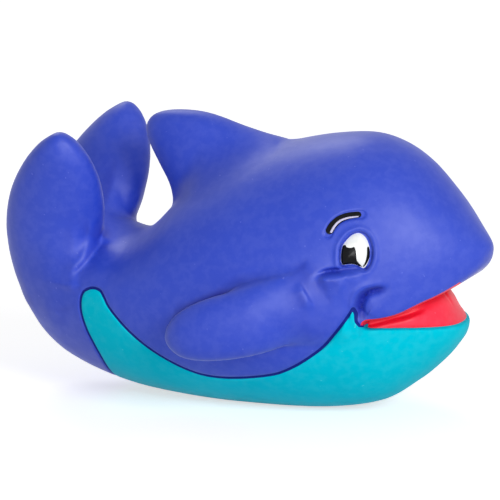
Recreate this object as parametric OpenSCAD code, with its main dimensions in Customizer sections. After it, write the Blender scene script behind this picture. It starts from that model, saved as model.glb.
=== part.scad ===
// Squeaky bath toy: a small whale of soft hollow vinyl with a squeaker pressed into its belly.
// The whale faces +X, its left side is +Y, and it rests on the plane z = 0.

/* [Whale] */
// Length from the tail to the snout
body_length = 125; // [100:1:160]
// Width of the body without the flippers
body_width = 60; // [52:1:76]
// Height of the top of the head above the surface
head_height = 69.5; // [62:1:90]
// Thickness of the vinyl walls
wall = 1.4; // [1:0.1:2]

/* [Squeeze] */
// How far the back goes down over the belly when the toy is squeezed
squeeze_travel = 4; // [1:0.5:5]
// Gap between the back's inside and the belly's outside
shell_gap = 0.4; // [0.3:0.05:0.8]
// How far the belly reaches up behind the edge of the back
lap = 2.5; // [1.5:0.5:4]
// How far the mouth's lining lies behind the lower lip
lip_depth = 1; // [0.5:0.1:1.5]

/* [Fins] */
// Height of the dorsal fin's top above the surface
fin_height = 72; // [66:0.5:84]
// Height of the tail flukes' tips above the surface
fluke_height = 68.5; // [60:0.5:80]
// Thickness of the dorsal fin at its root
fin_thickness = 16; // [12:0.5:20]
// Thickness of a tail fluke at its root
fluke_thickness = 17; // [14:0.5:20]
// Height of a flipper's broadest part
flipper_height = 17; // [14:0.5:20]
// Thickness of a flipper at its root
flipper_thickness = 9; // [7:0.5:11]
// Distance of a flipper's middle plane from the whale's middle plane
flipper_reach = 34; // [32:0.5:40]

/* [Eyes] */
// Width of the white of an eye
eye_width = 6.2; // [5:0.1:7.5]
// Height of the white of an eye
eye_height = 9.2; // [7:0.1:10.5]
// Thickness of the white of an eye
eye_thickness = 0.8; // [0.5:0.1:1.2]
// Width of the socket's rim around the white
socket_rim = 0.9; // [0.5:0.1:1.2]
// Thickness of the black and white coats that lie on top
coat = 0.25; // [0.15:0.05:0.4]
// Width of an eyebrow
brow_width = 2; // [1.4:0.1:2.6]
// Width of the pale line along an eyebrow
brow_line_width = 0.6; // [0.4:0.1:0.8]

/* [Squeaker] */
// Radius of the squeaker's case
case_r = 6; // [5.2:0.1:6.6]
// Height of the squeaker's case
case_h = 11; // [10:0.5:14]
// Wall of the squeaker's case
case_wall = 1; // [0.8:0.1:1.2]
// Thickness of the case's floor
case_floor = 1.2; // [0.8:0.1:1.6]
// How far the case's floor lies above the surface
case_recess = 0.8; // [0.4:0.1:1.4]
// Wall of the vinyl neck that grips the case
neck_wall = 2.4; // [1.8:0.1:3]
// Height of the vinyl neck
neck_h = 6; // [5:0.5:7]
// Radius of the air channel
channel_r = 1.3; // [1:0.1:1.5]
// Thickness of the cap's disc
cap_t = 1; // [0.8:0.1:1.4]
// Radius of each air hole in the cap
vent_r = 0.9; // [0.6:0.1:1]

/* [Reed] */
// Width of the reed
reed_w = 3.4; // [3:0.1:4]
// Thickness of the reed
reed_t = 0.15; // [0.1:0.01:0.2]
// Length of the reed that is free to swing
reed_free = 3.6; // [3:0.1:4]
// Length of the reed that the clip holds
reed_held = 1.4; // [1:0.1:1.6]
// Angle by which the free end stands away from its seat
reed_lift = 4; // [3.5:0.1:5]

/* [Hidden] */

// One overrun for every cut
cut = 1;
// Clearance of a snug fit between squeaker pieces
snug = 0.03;
// Points around a ring of the body, of the belly's inside, of a fin and of its inside
ring_n = 36;
inner_n = 20;
fin_n = 20;
inner_fin_n = 10;
// Points around round pieces, eyes and strokes
round_n = 64;
oval_n = 40;
pen_n = 16;
// Half the least width that a ring is drawn with
least_half = wall / 20;
// A form is hollow where half its thickness is more than this share of the wall
hollow_share = 1.6;
// Half the width of the body, from which the width shares are taken
half_width = body_width / 2;
// Fullness of a section below its widest height: 1 is an ellipse, less is squarer
keel_fullness_share = 0.97;

// The outer form: place along the length, half width, then lowest, widest and highest place.
// Places and widths are shares of body_length, half_width and head_height.
trunk_shares = [
    [0.000, 0.00, 0.507, 0.507, 0.507],
    [0.002, 0.10, 0.445, 0.500, 0.555],
    [0.008, 0.20, 0.370, 0.485, 0.590],
    [0.025, 0.34, 0.275, 0.460, 0.620],
    [0.055, 0.46, 0.192, 0.435, 0.640],
    [0.100, 0.565, 0.124, 0.415, 0.650],
    [0.150, 0.64, 0.080, 0.400, 0.650],
    [0.200, 0.72, 0.050, 0.392, 0.620],
    [0.250, 0.80, 0.028, 0.390, 0.605],
    [0.300, 0.867, 0.013, 0.395, 0.660],
    [0.375, 0.94, 0.000, 0.400, 0.770],
    [0.450, 0.985, -0.008, 0.420, 0.855],
    [0.525, 1.00, -0.010, 0.435, 0.920],
    [0.600, 0.99, -0.009, 0.450, 0.962],
    [0.675, 0.955, -0.001, 0.470, 0.990],
    [0.750, 0.885, 0.021, 0.490, 1.000],
    [0.810, 0.79, 0.058, 0.510, 0.972],
    [0.860, 0.68, 0.108, 0.530, 0.917],
    [0.900, 0.565, 0.178, 0.545, 0.847],
    [0.935, 0.44, 0.275, 0.560, 0.778],
    [0.965, 0.295, 0.405, 0.578, 0.707],
    [0.987, 0.165, 0.505, 0.592, 0.655],
    [0.997, 0.07, 0.560, 0.600, 0.625],
    [1.000, 0.00, 0.602, 0.602, 0.602]
];

// The inner form of the belly and the lower jaw, in the same shares.
// Its width is measured before the wall and the gap are taken off.
jaw_shares = [
    [0.120, 0.56, 0.160, 0.400, 0.490],
    [0.150, 0.63, 0.110, 0.400, 0.500],
    [0.180, 0.68, 0.085, 0.395, 0.500],
    [0.205, 0.73, 0.048, 0.392, 0.495],
    [0.250, 0.80, 0.028, 0.390, 0.490],
    [0.300, 0.867, 0.013, 0.395, 0.500],
    [0.375, 0.94, 0.000, 0.400, 0.530],
    [0.450, 0.985, -0.008, 0.420, 0.560],
    [0.525, 1.00, -0.010, 0.435, 0.580],
    [0.600, 0.99, -0.009, 0.450, 0.600],
    [0.675, 0.95, 0.000, 0.460, 0.620],
    [0.750, 0.865, 0.031, 0.450, 0.620],
    [0.810, 0.745, 0.073, 0.430, 0.600],
    [0.855, 0.63, 0.122, 0.405, 0.560],
    [0.890, 0.52, 0.176, 0.387, 0.507],
    [0.918, 0.405, 0.228, 0.364, 0.460],
    [0.935, 0.285, 0.272, 0.344, 0.414],
    [0.943, 0.17, 0.299, 0.331, 0.370],
    [0.946, 0.06, 0.318, 0.326, 0.336]
];

// The corner of the mouth, and places past the snout and under the belly for cuts
mouth_corner_share = [0.782, 0.421];
past_snout_share = 1.06;
under_share = -0.2;
// The edge between back and belly, from the tail's underside round the pointed wedge on the
// tail, and along the side to the corner of the mouth, in shares of length and head height
edge_shares = [
    [0.196, -0.060],
    [0.190, 0.060],
    [0.187, 0.160],
    [0.182, 0.260],
    [0.179, 0.350],
    [0.185, 0.400],
    [0.200, 0.415],
    [0.216, 0.402],
    [0.244, 0.357],
    [0.288, 0.305],
    [0.331, 0.256],
    [0.374, 0.212],
    [0.418, 0.174],
    [0.482, 0.148],
    [0.545, 0.139],
    [0.610, 0.157],
    [0.654, 0.180],
    [0.699, 0.222],
    [0.745, 0.302],
    [0.768, 0.368],
    mouth_corner_share
];
// The lower lip from the corner of the mouth forwards
lower_lip_shares = [
    mouth_corner_share,
    [0.790, 0.378],
    [0.802, 0.362],
    [0.826, 0.361],
    [0.851, 0.357],
    [0.875, 0.353],
    [0.899, 0.350],
    [0.921, 0.352],
    [0.943, 0.355],
    [0.970, 0.357],
    [past_snout_share, 0.360]
];
// The upper lip from the corner of the mouth forwards
upper_lip_shares = [
    mouth_corner_share,
    [0.790, 0.386],
    [0.806, 0.390],
    [0.823, 0.394],
    [0.843, 0.401],
    [0.863, 0.413],
    [0.882, 0.431],
    [0.901, 0.449],
    [0.922, 0.467],
    [0.943, 0.489],
    [0.967, 0.519],
    [0.990, 0.558],
    [1.012, 0.620],
    [past_snout_share, 0.640]
];
// The opening between the lips begins here, and reaches from the lower to the upper height
mouth_rear_share = 0.786;
mouth_low_share = 0.300;
mouth_high_share = 0.600;
// The floor of the snout begins here
snout_rear_share = 0.840;

// The dorsal fin, bottom to top: height as a share of fin_height, rear and front edge as
// shares of body_length, and thickness as a share of fin_thickness
dorsal_shares = [
    [0.560, 0.360, 0.670, 1.00],
    [0.665, 0.330, 0.625, 1.00],
    [0.740, 0.317, 0.600, 0.95],
    [0.815, 0.293, 0.582, 0.85],
    [0.885, 0.272, 0.550, 0.72],
    [0.935, 0.267, 0.503, 0.60],
    [0.970, 0.278, 0.452, 0.48],
    [0.990, 0.300, 0.412, 0.33],
    [1.000, 0.335, 0.378, 0.10]
];

// A tail fluke, bottom to top: height as a share of fluke_height, rear and front edge as
// shares of body_length, distance of its middle from the middle plane as a share of
// half_width, and thickness as a share of fluke_thickness
fluke_shares = [
    [0.300, 0.070, 0.160, 0.14, 0.60],
    [0.400, 0.022, 0.190, 0.20, 0.90],
    [0.485, 0.003, 0.200, 0.27, 1.00],
    [0.570, 0.000, 0.210, 0.34, 1.00],
    [0.660, 0.006, 0.222, 0.42, 0.94],
    [0.745, 0.022, 0.223, 0.50, 0.85],
    [0.830, 0.047, 0.217, 0.58, 0.75],
    [0.900, 0.076, 0.205, 0.65, 0.65],
    [0.957, 0.107, 0.187, 0.70, 0.50],
    [0.988, 0.132, 0.169, 0.73, 0.31],
    [1.000, 0.146, 0.155, 0.74, 0.08]
];

// A flipper, tip to root: place as a share of body_length, distance from the middle plane as
// a share of flipper_reach, height as a share of head_height, then half the height and half
// the thickness as shares of half flipper_height and half flipper_thickness
flipper_shares = [
    [0.412, 0.98, 0.314, 0.06, 0.10],
    [0.417, 0.98, 0.316, 0.28, 0.36],
    [0.433, 0.99, 0.322, 0.54, 0.58],
    [0.460, 1.00, 0.332, 0.76, 0.74],
    [0.503, 1.00, 0.350, 0.92, 0.84],
    [0.553, 0.98, 0.370, 0.99, 0.90],
    [0.605, 0.93, 0.392, 1.00, 0.96],
    [0.650, 0.84, 0.415, 0.96, 1.00],
    [0.690, 0.74, 0.430, 0.80, 1.00],
    [0.715, 0.66, 0.435, 0.60, 0.90]
];

// Distance to either side over which the slope of the skin is taken
slope_share = 0.01;
// The places of the eye and of the eyebrow on the head, in shares of length and head height
eye_place_shares = [0.782, 0.668];
// Angle by which the top of the eye leans back
eye_turn = 6;
brow_shares = [
    [0.727, 0.712],
    [0.733, 0.731],
    [0.741, 0.748],
    [0.751, 0.761],
    [0.762, 0.770],
    [0.774, 0.775],
    [0.786, 0.776]
];
// Place and size of the pupil and its glint, as shares of the eye's width and height
pupil_place_shares = [-0.22, -0.17];
pupil_size_shares = [0.52, 0.56];
glint_place_shares = [-0.24, -0.02];
glint_size_shares = [0.15, 0.13];
// The part of the eye's edge that has a dark line: its lower corner and its size
eye_line_place_shares = [0.20, -0.50];
eye_line_size_shares = [0.40, 0.55];
// Width of the dark line on the front edge of the eye
eye_line_w = 0.7;
// How deep the sockets and grooves go below the skin
socket_depth = eye_thickness + coat;

// Squeaker sizes that follow from the case
case_top = case_recess + case_h;
seat_roof = case_wall;
bore_r = case_r - case_wall;
bead_r = case_r + 0.4 * case_wall;
bead_h = case_wall;
bead_z = neck_h / 2;
neck_r = case_r + neck_wall;
seat_z = case_recess + case_floor;
seat_disc_h = case_floor;
stub_r = 2 * channel_r;
stub_h = case_floor;
stub_top = seat_z + seat_disc_h + stub_h;
reed_gap = reed_t * 2 / 3;
reed_x = reed_gap + reed_t / 2;
pivot_z = stub_top + reed_t + reed_held;
clip_t = case_wall;
clip_r = stub_r + clip_t;
seat_top = min(pivot_z + reed_free + 2 * reed_t, case_top - case_wall - reed_t);
vent_n = 4;

// Catmull-Rom curve through the rows of a table; u runs from 0 to the number of rows less one
function spline(rows, u) =
    let (
        i = min(floor(u), len(rows) - 2),
        f = u - i,
        a = rows[max(i - 1, 0)],
        b = rows[i],
        c = rows[i + 1],
        d = rows[min(i + 2, len(rows) - 1)]
    )
    (2 * b + (c - a) * f + (2 * a - 5 * b + 4 * c - d) * f * f
        + (3 * b - a - 3 * c + d) * f * f * f) / 2;

// The curve as a list of rows, with a number of steps between two rows
function smooth(rows, steps) = [
    for (k = [0:(len(rows) - 1) * steps]) spline(rows, k / steps)
];

// Where the curve reaches a place along the length
function find(rows, place, low, high, turns = 24) =
    turns == 0 ? (low + high) / 2 :
    let (middle = (low + high) / 2)
    spline(rows, middle)[0] < place
        ? find(rows, place, middle, high, turns - 1)
        : find(rows, place, low, middle, turns - 1);

function along(share) = (share - 0.5) * body_length;
function bent(v, power) = sign(v) * pow(abs(v), power);

// A closed ring of points across the body, drawn in by inset at the sides, by under at the
// bottom and by over at the top
function body_ring(row, n, inset, under, over) =
    let (
        w = max(row[1] * half_width - inset, least_half),
        widest = row[3] * head_height,
        down = max(widest - row[2] * head_height - under, least_half),
        up = max(row[4] * head_height - widest - over, least_half)
    )
    [
        for (k = [0:n - 1])
            let (
                c = cos(360 * k / n),
                s = sin(360 * k / n),
                power = s < 0 ? keel_fullness_share : 1
            )
            [along(row[0]), w * bent(c, power), widest + (s < 0 ? down : up) * bent(s, power)]
    ];

// The same ring with its upper half lifted, so that its sides are straight between the halves
function lifted_ring(row, n, inset, under, over, lift) =
    let (ring = body_ring(row, n, inset, under, over))
    concat(
        [for (k = [0:n / 2]) ring[k] + [0, 0, lift]],
        [for (k = [n / 2:n]) ring[k % n]]
    );

// Ellipse in the plane z, from the rear to the front edge
function fin_ring(z, rear, front, side, half_t, n) = [
    for (k = [0:n - 1])
        [(rear + front) / 2 + (front - rear) / 2 * cos(360 * k / n),
         side + half_t * sin(360 * k / n), z]
];

// Ellipse across a flipper
function flipper_ring(row, n, inset) = [
    for (k = [0:n - 1])
        [along(row[0]),
         -row[1] * flipper_reach
             + max(row[4] * flipper_thickness / 2 - inset, least_half) * cos(360 * k / n),
         row[2] * head_height
             + max(row[3] * flipper_height / 2 - inset, least_half) * sin(360 * k / n)]
];

// Half width of the outer form at a place and a height, as shares
function skin_y(s, z) =
    let (
        row = spline(trunk_shares, find(trunk_shares, s, 0, len(trunk_shares) - 1)),
        rise = (z - row[3]) / (z > row[3] ? row[4] - row[3] : row[3] - row[2])
    )
    row[1] * half_width * sqrt(max(0, 1 - rise * rise));

// Point on the right side of the head, and the direction straight out of it there
function skin_point(p) = [along(p[0]), -skin_y(p[0], p[1]), p[1] * head_height];
function skin_out(p) =
    let (
        d = slope_share,
        a = skin_point(p + [d, 0]) - skin_point(p - [d, 0]),
        b = skin_point(p + [0, d]) - skin_point(p - [0, d]),
        c = cross(a, b)
    )
    c / norm(c);

// Points of the plane y = 0 from shares of the length and of the head's height
function in_plane(shares) = [for (p = shares) [along(p[0]), p[1] * head_height]];

// Solid through a row of closed rings of as many points each
module loft(rings) {
    n = len(rings[0]);
    last = len(rings) - 1;
    polyhedron(
        points = [for (ring = rings) for (p = ring) p],
        faces = concat(
            [[for (k = [0:n - 1]) k]],
            [[for (k = [0:n - 1]) last * n + n - 1 - k]],
            [for (i = [0:last - 1]) for (k = [0:n - 1])
                [i * n + k, (i + 1) * n + k, (i + 1) * n + (k + 1) % n]],
            [for (i = [0:last - 1]) for (k = [0:n - 1])
                [i * n + k, (i + 1) * n + (k + 1) % n, i * n + (k + 1) % n]]
        )
    );
}

// Moves its children onto the right side of the head: x forwards, y up and z out of the skin
module on_head(place) {
    out = skin_out(place);
    translate(skin_point(place))
        rotate([0, acos(out[2]), atan2(out[1], out[0])])
            rotate(90)
                children();
}

// Prism across the whole whale from an outline in the plane y = 0
module across() {
    rotate([90, 0, 0])
        linear_extrude(height = 2 * body_width, center = true)
            children();
}

// A curve in the plane y = 0, drawn with a round pen
module stroke(shares, width) {
    line = in_plane(shares);
    for (k = [0:len(line) - 2])
        hull() {
            translate(line[k])
                circle(d = width, $fn = pen_n);
            translate(line[k + 1])
                circle(d = width, $fn = pen_n);
        }
}

module trunk_form(inset, n, steps) {
    rows = smooth(trunk_shares, steps);
    kept = [for (r = rows) if (r[1] * half_width >= hollow_share * inset) r];
    loft([for (r = kept) body_ring(r, n, inset, inset, inset)]);
}

// The form of belly and jaw, inside the outer form by the wall and the gap; deeper by inset
module jaw_form(inset, n, steps) {
    side = wall + shell_gap + inset;
    rows = smooth(jaw_shares, steps);
    kept = [for (r = rows) if (r[1] * half_width >= side) r];
    loft([for (r = kept) body_ring(r, n, side, inset, inset)]);
}

// All the room that belly and jaw take up while the back comes down over them
module jaw_room(n, steps) {
    rows = smooth(jaw_shares, steps);
    loft([for (r = rows) lifted_ring(r, n, wall, -shell_gap, -shell_gap, squeeze_travel)]);
}

module dorsal_form(inset, n, steps) {
    rows = smooth(dorsal_shares, steps);
    kept = [for (r = rows) if (r[3] * fin_thickness / 2 > hollow_share * inset) r];
    loft([for (r = kept)
        fin_ring(r[0] * fin_height, along(r[1]) + inset, along(r[2]) - inset, 0,
            r[3] * fin_thickness / 2 - inset, n)]);
}

module fluke_form(inset, n, steps) {
    rows = smooth(fluke_shares, steps);
    kept = [for (r = rows) if (r[4] * fluke_thickness / 2 > hollow_share * inset) r];
    loft([for (r = kept)
        fin_ring(r[0] * fluke_height, along(r[1]) + inset, along(r[2]) - inset,
            -r[3] * half_width, r[4] * fluke_thickness / 2 - inset, n)]);
}

module flipper_form(inset, n, steps) {
    rows = smooth(flipper_shares, steps);
    kept = [for (r = rows) if (r[4] * flipper_thickness / 2 > hollow_share * inset) r];
    loft([for (r = kept) flipper_ring(r, n, inset)]);
}

module both_sides() {
    children();
    mirror([0, 1, 0])
        children();
}

// The whole form of the blue back before the belly and the mouth are taken out
module back_form(inset, limb_n, steps) {
    trunk_form(inset, ring_n, steps);
    dorsal_form(inset, limb_n, 1);
    both_sides() {
        fluke_form(inset, limb_n, 1);
        flipper_form(inset, limb_n, 1);
    }
}

// Outlines in the plane y = 0
module belly_outline() {
    polygon(in_plane(concat(
        smooth(edge_shares, 2), smooth(lower_lip_shares, 2),
        [[past_snout_share, under_share], [edge_shares[0][0], under_share]]
    )));
}

module below_lips_outline() {
    polygon(in_plane(concat(
        smooth(upper_lip_shares, 2),
        [[past_snout_share, under_share], [mouth_rear_share, under_share]]
    )));
}

// Edge of the belly and the mouth together: the back's open lower edge
module open_outline() {
    belly_outline();
    below_lips_outline();
}

// A size or place on the eye from shares of its width and height
function eye_share(shares) = [shares[0] * eye_width, shares[1] * eye_height];

module eye_oval(grow) {
    rotate(-eye_turn)
        scale([eye_width / 2 + grow, eye_height / 2 + grow])
            circle(r = 1, $fn = oval_n);
}

module pupil_oval() {
    intersection() {
        eye_oval(0);
        translate(eye_share(pupil_place_shares))
            scale(eye_share(pupil_size_shares) / 2)
                circle(r = 1, $fn = oval_n);
    }
}

module glint_oval() {
    translate(eye_share(glint_place_shares))
        scale(eye_share(glint_size_shares) / 2)
            circle(r = 1, $fn = oval_n / 2);
}

// Row of upright pins along the eyebrow, joined pair by pair
module brow_stroke(width, low, high) {
    for (k = [0:len(brow_shares) - 2])
        hull() {
            on_head(brow_shares[k])
                translate([0, 0, low])
                    cylinder(d = width, h = high - low, $fn = pen_n);
            on_head(brow_shares[k + 1])
                translate([0, 0, low])
                    cylinder(d = width, h = high - low, $fn = pen_n);
        }
}

// Floor of the snout, over the mouth
module snout_floor() {
    intersection() {
        trunk_form(0, ring_n, 2);
        across()
            difference() {
                offset(delta = wall)
                    below_lips_outline();
                below_lips_outline();
            }
        translate([along(snout_rear_share), -half_width, 0])
            cube([body_length, body_width, head_height]);
    }
}

module back_skin() {
    color([0.29, 0.32, 0.80])
        difference() {
            union() {
                difference() {
                    back_form(0, fin_n, 2);
                    back_form(wall, inner_fin_n, 1);
                    across()
                        open_outline();
                }
                snout_floor();
            }
            jaw_room(ring_n, 2);
            both_sides() {
                on_head(eye_place_shares)
                    translate([0, 0, -socket_depth])
                        linear_extrude(height = socket_depth + 2 * cut)
                            eye_oval(socket_rim);
                brow_stroke(brow_width + 2 * snug, -socket_depth, cut);
            }
        }
}

// Wall of the belly and jaw, drawn in by depth
module base_form(depth) {
    difference() {
        jaw_form(depth, ring_n, 2);
        jaw_form(depth + wall, inner_n, 1);
    }
}

module belly_skin() {
    color([0.02, 0.72, 0.82])
        difference() {
            intersection() {
                base_form(0);
                across()
                    difference() {
                        union() {
                            belly_outline();
                            stroke(edge_shares, 2 * lap);
                        }
                        mouth_outline();
                    }
                translate([-body_length, -body_width, 0])
                    cube([2 * body_length, 2 * body_width, head_height]);
            }
            translate([0, 0, -cut])
                cylinder(r = neck_r + 2 * snug, h = neck_h + 2 * cut, $fn = round_n);
        }
}

// The gap between the lips, reaching up behind the upper lip
module mouth_outline() {
    difference() {
        translate([along(mouth_rear_share), mouth_low_share * head_height])
            square([
                (past_snout_share - mouth_rear_share) * body_length,
                (mouth_high_share - mouth_low_share) * head_height
            ]);
        belly_outline();
    }
}

module mouth_lining() {
    color([0.93, 0.17, 0.28])
        intersection() {
            base_form(lip_depth);
            across()
                intersection() {
                    mouth_outline();
                    union() {
                        below_lips_outline();
                        stroke(upper_lip_shares, 2 * lap);
                    }
                }
        }
}

module right_eye_white() {
    color([0.97, 0.97, 0.97])
        on_head(eye_place_shares)
            translate([0, 0, -socket_depth])
                linear_extrude(height = eye_thickness)
                    eye_oval(0);
}

module right_pupil() {
    color([0.03, 0.03, 0.04])
        on_head(eye_place_shares)
            translate([0, 0, -coat])
                linear_extrude(height = coat)
                    pupil_oval();
}

module right_eye_glint() {
    color([1, 1, 1])
        on_head(eye_place_shares)
            linear_extrude(height = coat)
                glint_oval();
}

module right_eye_outline() {
    color([0.03, 0.03, 0.04])
        on_head(eye_place_shares)
            translate([0, 0, -coat])
                linear_extrude(height = coat)
                    difference() {
                        intersection() {
                            eye_oval(0);
                            translate(eye_share(eye_line_place_shares))
                                square(eye_share(eye_line_size_shares));
                        }
                        translate([-eye_line_w, 0])
                            eye_oval(0);
                    }
}

module right_eyebrow() {
    color([0.03, 0.03, 0.04])
        difference() {
            brow_stroke(brow_width, -socket_depth, 0);
            brow_stroke(brow_line_width + 2 * snug, -coat, cut);
        }
}

module right_eyebrow_line() {
    color([0.85, 0.84, 0.95])
        brow_stroke(brow_line_width, -coat, 0);
}

// Moulded vinyl neck with a snap groove, open right through
module squeaker_neck() {
    color([0.02, 0.62, 0.72])
        difference() {
            cylinder(r = neck_r, h = neck_h, $fn = round_n);
            translate([0, 0, -cut])
                cylinder(r = case_r + snug, h = neck_h + 2 * cut, $fn = round_n);
            translate([0, 0, bead_z - snug])
                cylinder(r = bead_r + snug, h = bead_h + 2 * snug, $fn = round_n);
        }
}

// Cup with a snap bead and an air hole in its floor
module squeaker_case() {
    color([0.93, 0.93, 0.90])
        difference() {
            union() {
                translate([0, 0, case_recess])
                    cylinder(r = case_r, h = case_h, $fn = round_n);
                translate([0, 0, bead_z])
                    cylinder(r = bead_r, h = bead_h, $fn = round_n);
            }
            translate([0, 0, seat_z])
                cylinder(r = bore_r, h = case_h, $fn = round_n);
            cylinder(r = channel_r, h = case_top, $fn = round_n);
        }
}

// Disc with an upright half-round trough; the reed beats over its open side
module reed_seat() {
    color([0.88, 0.88, 0.85])
        difference() {
            union() {
                translate([0, 0, seat_z])
                    cylinder(r = bore_r - snug, h = seat_disc_h, $fn = round_n);
                translate([0, 0, seat_z])
                    cylinder(r = stub_r, h = seat_top - seat_z, $fn = round_n);
            }
            translate([0, -stub_r - cut, stub_top])
                cube([stub_r + cut, 2 * (stub_r + cut), case_h]);
            translate([0, 0, case_recess])
                cylinder(r = channel_r, h = seat_top - seat_roof - case_recess, $fn = round_n);
        }
}

// Ring round the trough's foot with a block that holds the reed's root
module reed_clip() {
    color([0.82, 0.80, 0.74])
        union() {
            translate([0, 0, seat_z + seat_disc_h])
                difference() {
                    cylinder(r = clip_r, h = stub_h, $fn = round_n);
                    translate([0, 0, -cut])
                        cylinder(r = stub_r + snug, h = stub_h + 2 * cut, $fn = round_n);
                }
            translate([2 * reed_gap + reed_t, -reed_w / 2, stub_top])
                cube([clip_r - 2 * reed_gap - reed_t - reed_gap, reed_w, pivot_z - stub_top]);
        }
}

// Thin blade with a straight root and a free end that stands off its seat
module reed() {
    color([0.78, 0.62, 0.30])
        translate([reed_x, -reed_w / 2, pivot_z])
            union() {
                translate([-reed_t / 2, 0, -reed_held])
                    cube([reed_t, reed_w, reed_held]);
                rotate([0, reed_lift, 0])
                    translate([-reed_t / 2, 0, -reed_t / 4])
                        cube([reed_t, reed_w, reed_free + reed_t / 4]);
            }
}

// Cap with a spigot and a ring of air holes
module squeaker_cap() {
    color([0.93, 0.93, 0.90])
        difference() {
            union() {
                translate([0, 0, case_top])
                    cylinder(r = case_r, h = cap_t, $fn = round_n);
                translate([0, 0, case_top - case_wall])
                    cylinder(r = bore_r - snug, h = case_wall, $fn = round_n);
            }
            for (k = [0:vent_n - 1])
                rotate(360 / vent_n * (k + 0.5))
                    translate([bore_r - 2 * vent_r, 0, case_top - case_wall - cut])
                        cylinder(r = vent_r, h = cap_t + case_wall + 2 * cut, $fn = oval_n);
        }
}

module mirrored() {
    mirror([0, 1, 0])
        children();
}

module left_eye_white() { mirrored() right_eye_white(); }
module left_pupil() { mirrored() right_pupil(); }
module left_eye_glint() { mirrored() right_eye_glint(); }
module left_eye_outline() { mirrored() right_eye_outline(); }
module left_eyebrow() { mirrored() right_eyebrow(); }
module left_eyebrow_line() { mirrored() right_eyebrow_line(); }

back_skin();
belly_skin();
mouth_lining();
right_eye_white();
left_eye_white();
right_pupil();
left_pupil();
right_eye_glint();
left_eye_glint();
right_eye_outline();
left_eye_outline();
right_eyebrow();
left_eyebrow();
right_eyebrow_line();
left_eyebrow_line();
squeaker_neck();
squeaker_case();
reed_seat();
reed_clip();
reed();
squeaker_cap();
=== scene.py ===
"""Looks of the squeaky bath toy: a small whale of soft cast vinyl.

The skins are taken from one implicit form, which follows the part's tables, a few of them
drawn closer to the photograph. The trunk, the fins, the jaw and the lips are smoothly joined,
and the surface is meshed, refined along its creases, cut along its colour edges and given a
wall. Lengths are millimetres of a whale 125 mm long, up to make_mesh, which scales them.
"""

import math

import bpy
import numpy as np
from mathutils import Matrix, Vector


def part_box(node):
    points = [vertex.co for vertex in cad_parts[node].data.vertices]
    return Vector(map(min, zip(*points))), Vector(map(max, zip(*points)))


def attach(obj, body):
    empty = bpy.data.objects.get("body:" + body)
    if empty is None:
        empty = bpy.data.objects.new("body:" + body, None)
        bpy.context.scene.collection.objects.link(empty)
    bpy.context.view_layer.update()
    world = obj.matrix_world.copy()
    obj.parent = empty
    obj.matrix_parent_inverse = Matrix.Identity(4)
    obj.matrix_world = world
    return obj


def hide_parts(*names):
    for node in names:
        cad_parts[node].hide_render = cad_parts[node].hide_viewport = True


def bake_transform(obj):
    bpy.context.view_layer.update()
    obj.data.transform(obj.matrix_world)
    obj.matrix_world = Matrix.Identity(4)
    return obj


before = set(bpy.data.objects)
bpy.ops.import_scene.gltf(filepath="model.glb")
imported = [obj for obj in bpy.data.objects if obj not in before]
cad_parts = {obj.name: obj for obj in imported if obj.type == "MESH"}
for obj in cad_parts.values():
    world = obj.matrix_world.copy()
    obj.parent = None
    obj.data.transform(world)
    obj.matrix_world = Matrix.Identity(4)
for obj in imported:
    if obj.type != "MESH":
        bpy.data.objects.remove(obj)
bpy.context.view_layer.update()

# ---- sizes and tables

LENGTH, HALF_WIDTH, HEAD = 125.0, 30.0, 69.5     # HEAD is the height of the head
FIN_H, FIN_T = 72.0, 16.0                        # heights and thicknesses
FLUKE_H, FLUKE_T = 68.5, 17.0
FLIPPER_H, FLIPPER_T, REACH = 17.0, 9.0, 34.0
NECK_R = 8.46
WALL = 1.2
LINE_HALF = 0.34                                 # half width of the dark edge line: paint bled into the groove, and painted shade of it
FLANK = 6.0                                      # the sides' creases lie farther out than this
FAR = 1e3                                        # stands for no line near

back_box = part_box("back_skin")
MM = (back_box[1].x - back_box[0].x) / LENGTH    # metres of the scene for each mm

# Rows are shares: place along the length, half width, and bottom, middle and top of the section
TRUNK = [
    [0.0, 0.0, 0.507, 0.507, 0.507], [0.002, 0.1, 0.445, 0.5, 0.555],
    [0.008, 0.2, 0.37, 0.485, 0.59], [0.025, 0.34, 0.275, 0.46, 0.62],
    [0.055, 0.46, 0.192, 0.435, 0.64], [0.1, 0.565, 0.124, 0.415, 0.65],
    [0.15, 0.64, 0.08, 0.4, 0.65], [0.2, 0.72, 0.05, 0.392, 0.612],
    [0.25, 0.8, 0.028, 0.39, 0.585], [0.3, 0.867, 0.013, 0.395, 0.63],
    [0.375, 0.94, 0.0, 0.4, 0.77], [0.45, 0.985, -0.008, 0.42, 0.855],
    [0.525, 1.0, -0.01, 0.435, 0.92], [0.6, 0.99, -0.009, 0.45, 0.962],
    [0.675, 0.955, -0.001, 0.47, 0.99], [0.75, 0.885, 0.021, 0.49, 1.0],
    [0.81, 0.79, 0.058, 0.51, 0.972], [0.86, 0.68, 0.108, 0.53, 0.917],
    [0.9, 0.565, 0.178, 0.545, 0.847], [0.935, 0.44, 0.275, 0.56, 0.778],
    [0.965, 0.295, 0.405, 0.578, 0.707], [0.987, 0.165, 0.505, 0.592, 0.655],
    [0.997, 0.07, 0.56, 0.6, 0.625], [1.0, 0.0, 0.602, 0.602, 0.602],
]
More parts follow.
